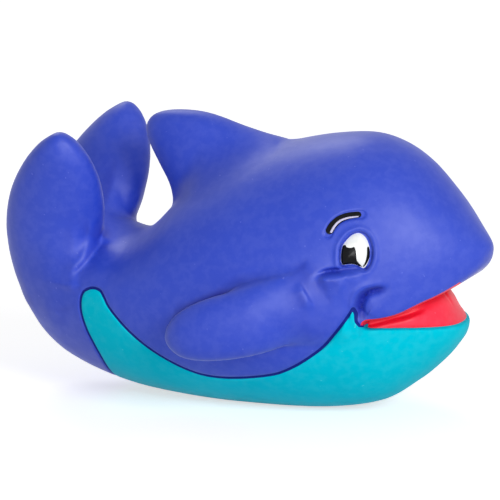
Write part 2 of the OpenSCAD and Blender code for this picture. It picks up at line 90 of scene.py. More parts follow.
JAW = [
    [0.375, 0.94, 0.0, 0.4, 0.53], [0.45, 0.985, -0.008, 0.42, 0.56],
    [0.525, 1.0, -0.01, 0.435, 0.58], [0.6, 0.99, -0.009, 0.45, 0.6],
    [0.675, 0.95, 0.0, 0.46, 0.62], [0.75, 0.865, 0.031, 0.45, 0.62],
    [0.81, 0.745, 0.073, 0.43, 0.6], [0.855, 0.63, 0.122, 0.405, 0.56],
    [0.89, 0.52, 0.176, 0.387, 0.507], [0.918, 0.405, 0.228, 0.364, 0.46],
    [0.935, 0.285, 0.272, 0.344, 0.414], [0.943, 0.17, 0.299, 0.331, 0.37],
    [0.946, 0.06, 0.318, 0.326, 0.336],
]
# Lines in the side view: shares of the length and of the head's height
EDGE = [
    [0.218, -0.06], [0.222, 0.06], [0.221, 0.143], [0.212, 0.205], [0.2, 0.262],
    [0.191, 0.322], [0.19, 0.368], [0.196, 0.403], [0.21, 0.421], [0.225, 0.427],
    [0.24, 0.421], [0.25, 0.401], [0.26, 0.373], [0.279, 0.337], [0.305, 0.293],
    [0.337, 0.248], [0.373, 0.207], [0.412, 0.171], [0.451, 0.146], [0.494, 0.139],
    [0.545, 0.147], [0.598, 0.165], [0.629, 0.184], [0.669, 0.224], [0.713, 0.283],
    [0.741, 0.336], [0.762, 0.385], [0.775, 0.422], [0.781, 0.44],
]
# In front of the mouth's corner the edge goes down the lip and then runs between the lips
EDGE_FRONT = [
    [0.785, 0.42], [0.786, 0.391], [0.791, 0.375], [0.798, 0.371], [0.808, 0.375],
    [0.824, 0.377], [0.843, 0.379], [0.863, 0.384], [0.882, 0.391], [0.901, 0.4],
    [0.922, 0.411], [0.943, 0.424], [1.2, 0.47],
]
LOWER_LIP = [
    [0.78, 0.421], [0.788, 0.39], [0.794, 0.372], [0.803, 0.363], [0.826, 0.361],
    [0.851, 0.357], [0.875, 0.353], [0.899, 0.349], [0.921, 0.346], [0.943, 0.341],
    [0.97, 0.336], [1.06, 0.33],
]
UPPER_LIP = [
    [0.78, 0.421], [0.788, 0.391], [0.796, 0.386], [0.806, 0.39], [0.823, 0.394],
    [0.843, 0.401], [0.863, 0.413], [0.882, 0.431], [0.901, 0.449], [0.922, 0.467],
    [0.943, 0.489], [0.967, 0.519], [0.99, 0.558], [1.012, 0.62], [1.06, 0.64],
]
TONGUE_TOP = [
    [0.78, 0.36], [0.795, 0.364], [0.831, 0.378], [0.857, 0.388], [0.882, 0.401],
    [0.899, 0.414], [0.912, 0.426], [0.94, 0.442], [1.0, 0.46],
]
# Height, rear edge, front edge and thickness; the fluke's distance from the middle before it
DORSAL = [
    [0.56, 0.36, 0.67, 1.0], [0.665, 0.33, 0.625, 1.0], [0.74, 0.317, 0.6, 0.95],
    [0.815, 0.293, 0.582, 0.85], [0.885, 0.272, 0.55, 0.72], [0.935, 0.267, 0.503, 0.6],
    [0.97, 0.278, 0.452, 0.48], [0.99, 0.3, 0.412, 0.33], [1.0, 0.335, 0.378, 0.1],
]
FLUKE = [
    [0.3, 0.06, 0.085, 0.14, 0.45], [0.37, 0.036, 0.1, 0.18, 0.72],
    [0.415, 0.02, 0.12, 0.21, 0.9], [0.44, 0.013, 0.145, 0.23, 0.96],
    [0.468, 0.007, 0.168, 0.25, 1.0], [0.5, 0.003, 0.182, 0.28, 1.0],
    [0.53, 0.001, 0.19, 0.31, 1.0], [0.58, 0.0, 0.197, 0.35, 1.0],
    [0.635, 0.004, 0.207, 0.4, 0.96], [0.7, 0.013, 0.216, 0.46, 0.9],
    [0.765, 0.027, 0.219, 0.52, 0.83], [0.83, 0.047, 0.216, 0.58, 0.75],
    [0.9, 0.076, 0.205, 0.65, 0.65], [0.957, 0.107, 0.187, 0.7, 0.5],
    [0.988, 0.132, 0.169, 0.73, 0.31], [1.0, 0.146, 0.155, 0.74, 0.08],
]
# Place along the length, reach, height of the middle, height and thickness
FLIPPER = [
    [0.412, 0.98, 0.314, 0.06, 0.1], [0.417, 0.98, 0.316, 0.28, 0.36],
    [0.433, 0.99, 0.322, 0.54, 0.58], [0.46, 1.0, 0.332, 0.76, 0.74],
    [0.503, 1.0, 0.35, 0.92, 0.84], [0.553, 0.98, 0.37, 0.99, 0.9],
    [0.605, 0.93, 0.392, 1.0, 0.96], [0.65, 0.84, 0.415, 0.96, 1.0],
    [0.69, 0.74, 0.43, 0.8, 1.0], [0.715, 0.66, 0.435, 0.6, 0.9],
    [0.74, 0.58, 0.435, 0.42, 0.78], [0.77, 0.49, 0.432, 0.22, 0.6],
]


def spline(rows, steps):
    """Catmull-Rom curve through the rows of a table."""
    rows = np.array(rows, float)
    last = len(rows) - 1
    u = np.linspace(0, last, last * steps + 1)
    i = np.minimum(u.astype(int), last - 1)
    f = (u - i)[:, None]
    a, b, c, d = rows[np.maximum(i - 1, 0)], rows[i], rows[i + 1], rows[np.minimum(i + 2, last)]
    return (2 * b + (c - a) * f + (2 * a - 5 * b + 4 * c - d) * f ** 2
            + (3 * b - a - 3 * c + d) * f ** 3) / 2


def along(share):
    return (share - 0.5) * LENGTH


MOUTH_CORNER, MOUTH_BACK, SNOUT_FLOOR_END = along(0.796), along(0.798), along(0.957)


def smin(a, b, k):
    """The less of two fields, with a fillet of about k."""
    h = np.maximum(k - np.abs(a - b), 0) / k
    return np.minimum(a, b) - h * h * k / 4


def smax(a, b, k):
    return -smin(-a, -b, k)


def step(x, low, high):
    """Smooth step from 0 at low to 1 at high."""
    t = np.clip((x - low) / (high - low), 0, 1)
    return t * t * (3 - 2 * t)


def bisect(outside, low, high, turns):
    """Closes in on the surface between a place inside and one outside."""
    for _ in range(turns):
        mid = (low + high) / 2
        out = outside(mid)
        high, low = np.where(out, mid, high), np.where(out, low, mid)
    return low, high


def blur(values, sigma):
    reach = int(3 * sigma) + 1
    kernel = np.exp(-0.5 * (np.arange(-reach, reach + 1) / sigma) ** 2)
    kernel /= kernel.sum()
    return np.convolve(np.pad(values, reach, mode="reflect", reflect_type="odd"), kernel, "valid")


class Loft:
    """A form with elliptical sections along t: half width in p, half heights in q."""
    GRID = 0.1          # between the rows of its tables
    PAD = 12.0          # how far they go on past its ends
    FIRM = 0.02         # below this share of the widest section its ratios aren't used

    def __init__(self, t, mid_p, mid_q, half_p, half_down, half_up, soft, closed):
        grid = np.arange(t[0] - self.PAD, t[-1] + self.PAD, self.GRID)

        def even(v):
            return np.interp(grid, t, v)

        def squares(v):
            v = v ** 2
            e = even(v)
            for shut, end, way in ((closed[0], t[0], 1), (closed[1], t[-1], -1)):
                if shut:
                    last = np.interp(end, t, v)
                    slope = (np.interp(end + way * 0.5, t, v) - last) / 0.5
                    past = (grid - end) * way < 0
                    e[past] = last + slope * (grid[past] - end) * way
            return e

        a, down, up = squares(half_p), squares(half_down), squares(half_up)
        firm = (grid >= t[0]) & (grid <= t[-1])
        for v in (a, down, up):
            firm &= v > self.FIRM * v.max()
        ratios = (np.interp(grid, grid[firm], (a / v)[firm]) for v in (down, up))
        self.grid = grid
        self.tables = [blur(v, soft / self.GRID) for v in (even(mid_p), even(mid_q), a, *ratios)]
        self.slopes = [np.gradient(v, self.GRID) for v in self.tables]

    def __call__(self, p, q, t):
        mp, mq, a, rd, ru = (np.interp(t, self.grid, v) for v in self.tables)
        dmp, dmq, da, drd, dru = (np.interp(t, self.grid, v) for v in self.slopes)
        u, v = p - mp, q - mq
        r, dr = np.where(v > 0, ru, rd), np.where(v > 0, dru, drd)
        psi = u * u + r * v * v - a
        gt = -2 * u * dmp + dr * v * v - 2 * r * v * dmq - da
        g2 = u * u + (r * v) ** 2 + gt * gt / 4
        return psi / (np.sqrt(g2) + np.sqrt(np.maximum(g2 - psi, 0)) + 1e-6)


def in_plane(shares):
    """Places in the side view, from shares of the length and of the head's height."""
    return np.array(shares) * [LENGTH, HEAD] - [LENGTH / 2, 0]


def to_segment(P, start, g):
    """Squared distance to a segment, and the share of it reached."""
    r = P - start
    t = np.clip((r @ g) / (g @ g + 1e-12), 0, 1)
    return ((r - t[:, None] * g) ** 2).sum(1), t


def signed(line, P):
    """Distance from points of a plane to a closed outline there, negative inside."""
    best, inside = np.full(len(P), 1e6), np.zeros(len(P), bool)
    for a, b in zip(line, np.roll(line, -1, axis=0)):
        g = b - a
        best = np.minimum(best, to_segment(P, a, g)[0])
        if a[1] != b[1]:
            hit = (a[1] > P[:, 1]) != (b[1] > P[:, 1])
            inside ^= hit & (P[:, 0] < g[0] * (P[:, 1] - a[1]) / g[1] + a[0])
    return np.where(inside, -1, 1) * np.sqrt(best)


class Outline:
    """Table of the signed distance to a closed outline in the side view."""
    CELL = 0.2
    LOW = np.array([-66.0, -6.0])
    COUNT = np.array([670, 410])

    def __init__(self, line):
        x, z = (self.LOW[k] + np.arange(self.COUNT[k]) * self.CELL for k in (0, 1))
        P = np.stack(np.meshgrid(x, z, indexing="ij"), -1).reshape(-1, 2)
        self.table = signed(line, P).reshape(self.COUNT)

    def __call__(self, X, Z):
        x, z = ((v - self.LOW[k]) / self.CELL for k, v in enumerate((X, Z)))
        x, z = (np.clip(v, 0, self.COUNT[k] - 1.001) for k, v in enumerate((x, z)))
        i, j = x.astype(int), z.astype(int)
        f, g, T = x - i, z - j, self.table
        return ((T[i, j] * (1 - f) + T[i + 1, j] * f) * (1 - g)
                + (T[i, j + 1] * (1 - f) + T[i + 1, j + 1] * f) * g)


def leaf_outline(x_first, z_first, x_second, z_second):
    """Outline of a fin between two edges in the side view."""
    return Outline(np.concatenate([np.stack([x_first, z_first], 1)[::6],
                                   np.stack([x_second, z_second], 1)[::6][::-1]]))


def upright(rows, height, mid_y, half_y):
    """A fin that stands up: its loft along the height, and its outline in the side view."""
    z = rows[:, 0] * height
    rear, front = along(rows[:, 1]), along(rows[:, 2])
    half = (front - rear) / 2
    loft = Loft(z, mid_y, along((rows[:, 1] + rows[:, 2]) / 2), half_y, half, half,
                0.35, (False, True))
    return loft, leaf_outline(rear, z, front, z)


def lengthwise(rows, drawn_in, soft, closed):
    """A loft along the length, drawn in at its sides towards the snout."""
    x, half, low, mid, high = spline(rows, 30).T
    half = half * HALF_WIDTH - drawn_in * step(x, 0.8, 0.88)
    return Loft(along(x), x * 0, mid * HEAD, half, (mid - low) * HEAD, (high - mid) * HEAD,
                soft, closed)


def lofts():
    trunk = lengthwise(TRUNK, 0, 1.0, (True, True))
    jaw = lengthwise(JAW, 1.5, 0.8, (False, True))
    d, f = spline(DORSAL, 30), spline(FLUKE, 30)
    w = spline(FLIPPER, 30)
    x, z, half = along(w[:, 0]), w[:, 2] * HEAD, w[:, 3] * FLIPPER_H / 2
    flipper = Loft(x, w[:, 1] * REACH, z, w[:, 4] * FLIPPER_T / 2, half, half,
                   0.35, (True, False))
    return (trunk, jaw,
            *upright(d, FIN_H, d[:, 0] * 0, d[:, 3] * FIN_T / 2),
            *upright(f, FLUKE_H, f[:, 3] * HALF_WIDTH, f[:, 4] * FLUKE_T / 2),
            flipper, leaf_outline(x, z + half, x, z - half))


trunk, jaw, dorsal, dorsal_side, fluke, fluke_side, flipper, flipper_side = lofts()


def height_line(shares):
    """A line in the middle plane as a height over X, with the cosine of its slope."""
    line = spline(shares, 16)
    x, z = along(line[:, 0]), line[:, 1] * HEAD
    x = np.maximum.accumulate(x + np.arange(len(x)) * 1e-6)
    cosine = 1 / np.sqrt(1 + np.clip(np.gradient(z, x), -4, 4) ** 2)
    return x, z, cosine


upper_lip, lower_lip, tongue_top = (height_line(v) for v in (UPPER_LIP, LOWER_LIP, TONGUE_TOP))


def over(line, X, Z):
    """Height of a point over such a line, square to it."""
    return (Z - np.interp(X, line[0], line[1])) * np.interp(X, line[0], line[2])


def form(X, Y, Z):
    """Fields of the outer skin and of the mouth's lining, the depth below the upper lip, and a
    field that is negative where the skin is the snout's floor."""
    # Trunk and dorsal fin, the pair of flukes, the flippers
    fin = np.maximum(dorsal(Y, X, Z), dorsal_side(X, Z))
    blend = 2.5 + 6.5 * step(X, along(0.33), along(0.42))
    body = smin(trunk(Y, Z, X), smax(fin, 0.56 * FIN_H + 1 - Z, 1.0), blend)
    side = fluke_side(X, Z)
    tail = smin(np.maximum(fluke(Y, X, Z), side), np.maximum(fluke(-Y, X, Z), side), 3.0)
    blend = 5.0 + 3.5 * step(X, along(0.05), along(0.13))
    blend = blend - 7.3 * step(X, along(0.165), along(0.205))
    body = smin(body, smax(tail, 0.30 * FLUKE_H + 1 - Z, 5.0), blend)
    soft = 0.8 + 6.7 * step(X + 1.6 * (Z - 27), along(0.525), along(0.71))
    paddle = np.maximum(flipper(Y, Z, X), flipper_side(X, Z))
    body = smin(body, smax(paddle, X - along(0.770), 3.0), soft)
    # The head ends at the upper lip, and the jaw below the lower one
    below = -over(upper_lip, X, Z)
    mouth = smin(below, X - MOUTH_CORNER, 1.0)
    back = smax(body, mouth, 1.6)
    jaw_in = jaw(Y, Z, X)
    share = step(X, along(0.78), along(0.85))
    lower = trunk(Y, Z, X) * (1 - share) + jaw_in * share
    lip = smax(lower, over(lower_lip, X, Z), 1.2)
    skin = smin(back, lip, 0.05 + 1.6 * step(X, along(0.79), along(0.83)))
    skin = smax(skin, -Z, 0.5)
    # The tongue, with a groove along its middle, in the lining inside the jaw
    crease = 0.55 * np.exp(-(Y / 0.5) ** 2) * step(X, along(0.87), along(0.91))
    crease = crease * step(Z, 0.385 * HEAD, 0.425 * HEAD)
    front = 2.7 * step(X, along(0.870), along(0.915)) * step(Z, 0.33 * HEAD, 0.41 * HEAD)
    bulge = smax(lower + 0.7 + front + crease, over(tongue_top, X, Z), 1.8)
    lining = smin(lower + 2.6 + 0.5 * crease, bulge, 0.8)
    lining = smax(smax(lining, MOUTH_BACK - X, 0.4), -below - 0.8, 0.4)
    return skin, lining, below, body - mouth


def form_at(P):
    return form(P[:, 0], np.abs(P[:, 1]), P[:, 2])


# ---- lines on the skin

def side_y(x, z):
    """Half width of the trunk at a place."""
    ends = bisect(lambda y: trunk(y, z, x) > 0, np.zeros(len(x)), np.full(len(x), 40.0), 24)
    return sum(ends) / 2


def on_side(shares, steps=6):
    return in_plane(spline(shares, steps))


def to_line(P, line, reach):
    """Distance from each point to a line, and the share of the line reached there."""
    d, s = np.full(len(P), FAR), np.zeros(len(P))
    near = np.all((P > line.min(0) - reach) & (P < line.max(0) + reach), 1)
    Q = P[near]
    best, place = np.full(len(Q), 1e6), np.zeros(len(Q))
    seg = np.diff(line, axis=0)
    cum = np.concatenate([[0], np.cumsum(np.linalg.norm(seg, axis=1))])
    for i, g in enumerate(seg):
        e, t = to_segment(Q, line[i], g)
        closer = e < best
        best[closer] = e[closer]
        place[closer] = (cum[i] + t[closer] * (cum[i + 1] - cum[i])) / cum[-1]
    d[near], s[near] = np.sqrt(best), place
    return d, s


def trace(P, line, reach, start, end, late=0):
    """Distance to a line, and a weight that fades towards its ends."""
    d, s = to_line(P, line, reach)
    return d, step(s, 0, start) * step(1 - s, late, end)


def ahead_of(line, P):
    return P[:, 0] > np.interp(-P[:, 1], -line[:, 1], line[:, 0])


def on_left(P):
    return P * [1, 0, 1] + np.abs(P) * [0, 1, 0]


def flank_view(P):
    """Places in the side view of the points on the left flank; the others are sent away."""
    return np.where(P[:, 1:2] > FLANK, P[:, [0, 2]], FAR)


EDGE_LINE = on_side(EDGE, 10)
MOUTH_CREASE = on_side([
    [0.85, 0.516], [0.836, 0.509], [0.822, 0.505], [0.807, 0.497], [0.797, 0.479],
    [0.7915, 0.45], [0.792, 0.422], [0.799, 0.401], [0.812, 0.395], [0.832, 0.399]])
crease_hollow = Outline(np.concatenate([
    MOUTH_CREASE, in_plane([[0.9, 0.4], [0.9, 0.54]])]))
CHEEK_CREASE = on_side([
    [0.704, 0.547], [0.724, 0.567], [0.748, 0.575], [0.775, 0.581], [0.798, 0.581],
    [0.822, 0.572]])
FOLD = on_side([[0.68, 0.54], [0.694, 0.505], [0.704, 0.473], [0.713, 0.436]])
STEM = on_side([
    [0.224, 0.705], [0.219, 0.654], [0.211, 0.606], [0.206, 0.564], [0.2, 0.528],
    [0.194, 0.501], [0.18, 0.472], [0.15, 0.43]])
edge_outline = Outline(np.concatenate([
    EDGE_LINE, in_plane(EDGE_FRONT + [[1.2, -0.3], [0.196, -0.3]])]))


def edge_signed(P):
    """Distance in the side view to the edge between blue and teal, negative on teal."""
    return edge_outline(P[:, 0], P[:, 2])


# The eye: its place on the left side, and its own axes along the skin. The lines are in
# millimetres along these axes, forwards and up.
EYE_TURN = math.radians(6)
EYE_LINE = [
    [1.05, 4.35], [-0.3, 3.95], [-1.35, 3.2], [-2.4, 2.1], [-3.1, 0.8],
    [-3.45, -0.9], [-3.5, -2.2], [-3.3, -3.05], [-2.2, -3.05], [-0.8, -3.15],
    [0.4, -3.55], [1.2, -4.1], [1.75, -4.4], [2.4, -4.0], [3.0, -3.1],
    [3.45, -2.0], [3.72, -0.6], [3.72, 0.8], [3.35, 2.4], [2.7, 3.5],
    [1.95, 4.15],
]
BROW_LINE = [
    [-6.0, 4.85], [-5.45, 5.8], [-4.54, 6.94], [-2.87, 8.1], [-0.82, 8.68],
    [1.15, 8.8], [2.55, 8.72],
]


def eye_axes(x, z):
    """The eye's place, its own turned axes along the skin, and the way out."""
    y = float(side_y(np.array([x]), np.array([z]))[0])
    h = 0.5
    ys = side_y(np.array([x - h, x + h, x, x]), np.array([z, z, z - h, z + h]))
    ax = np.array([2 * h, ys[1] - ys[0], 0])
    az = np.array([0, ys[3] - ys[2], 2 * h])
    out = np.cross(az, ax)
    out /= np.linalg.norm(out)
    ex = ax / np.linalg.norm(ax)
    ez = np.cross(ex, out)
    c, s = math.cos(EYE_TURN), math.sin(EYE_TURN)
    return np.array([x, y, z]), ex * c + ez * s, ez * c - ex * s, out


EYE_C, EYE_X, EYE_Z, EYE_OUT = eye_axes(along(0.781), 0.644 * HEAD)


def eye_point(uv, lift):
    """Points over the plain skin of the left side, from their places in the eye's axes."""
    base = EYE_C + np.outer(uv[:, 0], EYE_X) + np.outer(uv[:, 1], EYE_Z)

    def outside(height):
        x, y, z = (base + np.outer(height, EYE_OUT)).T
        return trunk(y, z, x) > 0

    ends = bisect(outside, np.full(len(uv), -6.0), np.full(len(uv), 6.0), 20)
    return base + np.outer(sum(ends) / 2 + lift, EYE_OUT)


def ring(rows, steps=4):
    """Closed curve through the rows."""
    line = spline(rows * 3, steps)
    return line[len(rows) * steps:2 * len(rows) * steps]


EYE_EDGE = ring(EYE_LINE)
SOCKET_EDGE = EYE_EDGE + np.stack([
    0.12 + 0.38 * step(EYE_EDGE[:, 0], 0.0, 3.0) - 0.24 * (EYE_EDGE[:, 0] < 0),
    0.15 * np.sign(EYE_EDGE[:, 1])], 1)
BROW = spline(BROW_LINE, 6)


def near_eye(P):
    """Which points lie near the eye, and their places in its axes."""
    q = P - EYE_C
    u, v = q @ EYE_X, q @ EYE_Z
    near = (np.abs(q @ EYE_OUT) < 6) & (np.hypot(u, v) < 12)
    return near, np.stack([u[near], v[near]], 1)


def eye_dome(uv):
    """Height of the eyeball over the plain skin."""
    inside = np.maximum(-signed(EYE_EDGE, uv), 0)
    return -0.80 + 0.95 * (1 - np.exp(-inside / 1.1))


def relief(P):
    """Depth of the moulded lines and hollows below the plain skin."""
    def bell(x, width):
        return np.exp(-(x / width) ** 2)

    P = on_left(P)
    # The groove along the edge between blue and teal, as far as the mouth's corner
    depth = 0.45 * (1 - step(P[:, 0], along(0.790), MOUTH_BACK))
    depth = depth * bell(edge_signed(P), 0.42)
    flank = P[:, 1] > FLANK
    Q = P[:, [0, 2]]
    # The crease round the mouth's corner: a soft hollow inside, a steep one with a rim outside
    d, taper = trace(Q, MOUTH_CREASE, 8, 0.28, 0.38, 0.03)
    inner = crease_hollow(P[:, 0], P[:, 2]) < 0
    depth += flank * taper * np.where(inner, 1.1 * bell(d, 1.1) + 0.8 * bell(d, 2.8),
                                      1.9 * bell(d, 0.75) - 0.35 * bell(d - 1.7, 0.8))
    # The crease over the cheek, which bulges under it
    d, taper = trace(Q, CHEEK_CREASE, 10, 0.3, 0.40)
    taper = flank * taper
    depth += taper * 0.85 * bell(d, 0.65)
    below = P[:, 2] < np.interp(P[:, 0], CHEEK_CREASE[:, 0], CHEEK_CREASE[:, 1])
    depth -= np.where(below, taper * 1.4 * step(d, 0, 1.8) * bell(d, 4.8), 0)
    # The fold from the cheek to the flipper, a ridge that is steep in front
    d, taper = trace(Q, FOLD, 6, 0.35, 0.35)
    depth -= flank * taper * 0.6 * bell(d, np.where(ahead_of(FOLD, Q), 0.45, 2.2))
    # The crease at each fluke's root, with a rim behind it
    d, taper = trace(Q, STEM, 8, 0.3, 0.45)
    leaf = 0.9 * bell(d, 0.9) - 0.7 * bell(d - 1.6, 1.2)
    depth += (step(P[:, 1], 10.5, 12.5) * taper
              * np.where(ahead_of(STEM, Q), 0.9 * bell(d, 2.4), leaf))
    # The socket of the eye, with a low rim, and the groove of the brow
    near, R = near_eye(P)
    gap = signed(SOCKET_EDGE, R)
    depth[near] += 1.05 * step(-gap, -0.45, 0.05) - 0.32 * bell(gap - 1.1, 0.55)
    depth[near] += 0.35 * step(1.30 - to_line(R, BROW, 3)[0], 0, 0.4)
    return depth


def value(P, fine=True):
    """Least of skin and lining, the skin, and the lining, at points."""
    skin, lining, _, floor = form_at(P)
    if fine:
        skin = skin + relief(P) * step(floor, -0.4, 1.3)
    return np.minimum(skin, lining), skin, lining


def on_surface(P, fine=True):
    return value(P, fine)[0]


def gradient(field, P, h):
    out = np.empty_like(P)
    for k in range(3):
        e = np.zeros(3)
        e[k] = h
        out[:, k] = (field(P + e) - field(P - e)) / (2 * h)
    return out


def settle(P, fine=True, turns=2):
    """Moves points along the gradient onto the surface."""
    for _ in range(turns):
        g = gradient(lambda Q: on_surface(Q, fine), P, 0.04)
        g2 = np.maximum((g ** 2).sum(1), 0.2)
        P = P - np.clip(on_surface(P, fine), -1.5, 1.5)[:, None] * g / g2[:, None]
    return P


# ---- meshing

def surface_net(values, low, size):
    """Triangles near the zero of a field on a grid, one vertex in each cell that it crosses."""
    inside = values < 0
    n = np.array(values.shape)
    corner = [(i, j, k) for i in (0, 1) for j in (0, 1) for k in (0, 1)]
    count = sum(inside[i:n[0] - 1 + i, j:n[1] - 1 + j, k:n[2] - 1 + k].astype(np.int8)
                for i, j, k in corner)
    cells = np.argwhere((count > 0) & (count < 8))
    number = -np.ones(n - 1, int)
    number[tuple(cells.T)] = np.arange(len(cells))
    at = {c: values[cells[:, 0] + c[0], cells[:, 1] + c[1], cells[:, 2] + c[2]] for c in corner}
    total, hits = np.zeros((len(cells), 3)), np.zeros(len(cells))
    for c in corner:
        for axis in range(3):
            if c[axis]:
                continue
            d = tuple(1 if m == axis else c[m] for m in range(3))
            a, b = at[c], at[d]
            cross = (a < 0) != (b < 0)
            t = np.where(cross, a / np.where(cross, a - b, 1), 0)
            point = np.array(c, float) + np.outer(t, np.eye(3)[axis])
            total += point * cross[:, None]
            hits += cross
    V = (cells + total / hits[:, None]) * size + low
    quads = []
    for axis in range(3):
        e1, e2 = np.eye(3, dtype=int)[(axis + 1) % 3], np.eye(3, dtype=int)[(axis + 2) % 3]
        a = inside[tuple(slice(0, n[m] - (m == axis)) for m in range(3))]
        b = inside[tuple(slice(int(m == axis), n[m]) for m in range(3))]
        edges = np.argwhere(a != b)
        q = np.stack([number[tuple((edges - s).T)] for s in (0 * e1, e1, e1 + e2, e2)], 1)
        flip = ~a[tuple(edges.T)]
        q[flip] = q[flip][:, ::-1]
        quads.append(q)
    q = np.concatenate(quads)
    d1 = np.linalg.norm(V[q[:, 0]] - V[q[:, 2]], axis=1)
    d2 = np.linalg.norm(V[q[:, 1]] - V[q[:, 3]], axis=1)
    s = d1 <= d2
    F = np.concatenate([q[s][:, [0, 1, 2]], q[s][:, [0, 2, 3]],
                        q[~s][:, [0, 1, 3]], q[~s][:, [1, 2, 3]]])
    return V, F


def edges_of(F, count):
    """Unique edges, and for each triangle the numbers of its edges 01, 12 and 20."""
    e = np.sort(np.stack([F[:, [0, 1]], F[:, [1, 2]], F[:, [2, 0]]], 1).reshape(-1, 2), 1)
    keys, back = np.unique(e[:, 0] * count + e[:, 1], return_inverse=True)
    return np.stack([keys // count, keys % count], 1), back.reshape(-1, 3)


def split_edges(V, F, ends, of_face, mark, t):
    """Puts a vertex on each marked edge and divides the triangles there.
    Also gives the number of the old triangle that each new one lies in."""
    t = t[mark][:, None]
    a, b = V[ends[mark][:, 0]], V[ends[mark][:, 1]]
    number = -np.ones(len(ends), int)
    number[mark] = len(V) + np.arange(mark.sum())
    V = np.concatenate([V, a * (1 - t) + b * t])
    m = number[of_face]
    hits = (m >= 0).sum(1)
    whole = hits == 0
    out, old = [F[whole]], [np.flatnonzero(whole)]

    def add(pick, *columns):
        out.append(np.stack(columns, 1))
        old.append(pick)

    for shift in range(3):
        roll = [(shift + k) % 3 for k in range(3)]
        G, H = F[:, roll], m[:, roll]
        k = np.flatnonzero((hits == 1) & (H[:, 0] >= 0))
        (a, b, c), p = G[k].T, H[k, 0]
        add(k, a, p, c)
        add(k, p, b, c)
        k = np.flatnonzero((hits == 2) & (H[:, 2] < 0))
        (a, b, c), (p, q, _) = G[k].T, H[k].T
        add(k, p, b, q)
        short = ((V[a] - V[q]) ** 2).sum(1) < ((V[p] - V[c]) ** 2).sum(1)
        add(k, a, p, np.where(short, q, c))
        add(k, np.where(short, a, p), q, c)
    k = np.flatnonzero(hits == 3)
    (a, b, c), (p, q, r) = F[k].T, m[k].T
    add(k, a, p, r)
    add(k, p, b, q)
    add(k, r, q, c)
    add(k, p, q, r)
    return V, np.concatenate(out), np.concatenate(old)


def gather(at, rows, count):
    """Sums of the rows that belong to each vertex."""
    return np.stack([np.bincount(at, rows[:, k], count) for k in range(3)], 1)


def relax(V, F, turns, fine):
    """Evens out the triangles along the surface."""
    for _ in range(turns):
        a, b = edges_of(F, len(V))[0].T
        total = gather(a, V[b], len(V)) + gather(b, V[a], len(V))
        count = np.bincount(np.concatenate([a, b]), minlength=len(V))
        V = settle(V * 0.4 + total / count[:, None] * 0.6, fine, 1)
    return V


def fineness(P):
    """Wanted length of an edge at a point."""
    Q = on_left(P)
    want = np.full(len(P), 9.0)

    def near(d, reach, size):
        want[:] = np.minimum(want, np.where(d < reach, size, 9.0))

    near(np.abs(edge_signed(Q)), 1.0, 0.42)
    for line, reach, size in ((MOUTH_CREASE, 2.4, 0.34), (CHEEK_CREASE, 2.2, 0.45),
                              (FOLD, 1.8, 0.42), (STEM, 3.0, 0.60)):
        near(to_line(flank_view(Q), line, 5)[0], reach, size)
    gap = np.full(len(Q), 9.0)
    at, R = near_eye(Q)
    gap[at] = np.minimum(np.abs(signed(SOCKET_EDGE, R)), to_line(R, BROW, 3)[0])
    near(gap, 2.0, 0.38)
    skin, lining, below, _ = form_at(Q)
    lips = (Q[:, 0] > along(0.77)) & (Q[:, 2] < 0.66 * HEAD)
    for d, reach, size in ((skin - lining, 1.5, 0.5), (below, 1.8, 0.5),
                           (over(lower_lip, Q[:, 0], Q[:, 2]), 1.5, 0.6)):
        near(np.where(lips, np.abs(d), 9), reach, size)
    near(np.where(Q[:, 2] < 3, np.abs(np.hypot(Q[:, 0], Q[:, 1]) - NECK_R), 9), 1.0, 0.6)
    return want


def cut(V, F, f, solve, faces=None):
    """Divides triangles along f = 0; solve moves points onto that line. Only edges of the
    given faces are cut, and a vertex close to the line is moved onto it instead."""
    ends, of_face = edges_of(F, len(V))
    ours = np.ones(len(ends), bool)
    if faces is not None:
        ours[:] = False
        ours[of_face[faces].ravel()] = True

    def crossings():
        fa, fb = f[ends[:, 0]], f[ends[:, 1]]
        mark = (fa * fb < 0) & ours
        return mark, np.where(mark, fa / np.where(mark, fa - fb, 1), 0)

    mark, t = crossings()
    close = np.zeros(len(V), bool)
    close[ends[mark & (t < 0.22)][:, 0]] = True
    close[ends[mark & (t > 0.78)][:, 1]] = True
    if close.any():
        V, f = V.copy(), f.copy()
        V[close] = solve(V[close])
        f[close] = 0
    mark, t = crossings()
    old = len(V)
    V, F, parent = split_edges(V, F, ends, of_face, mark, t)
    V[old:] = solve(V[old:])
    f = np.concatenate([f, np.zeros(len(V) - old)])
    return V, F, parent, f[F].sum(1)


def solve_pair(first, second):
    """Moves points by the least step onto two surfaces at once."""
    def run(P):
        for _ in range(4):
            f = np.stack([first(P), second(P)], 1)
            G = np.stack([gradient(field, P, 0.03) for field in (first, second)], 1)
            A = G @ G.transpose(0, 2, 1) + np.eye(2) * 1e-4
            x = np.linalg.solve(A, f[:, :, None])
            move = -(G.transpose(0, 2, 1) @ x)[:, :, 0]
            size = np.linalg.norm(move, axis=1, keepdims=True)
            P = P + move * np.minimum(1, 0.5 / np.maximum(size, 1e-9))
        return P
    return run


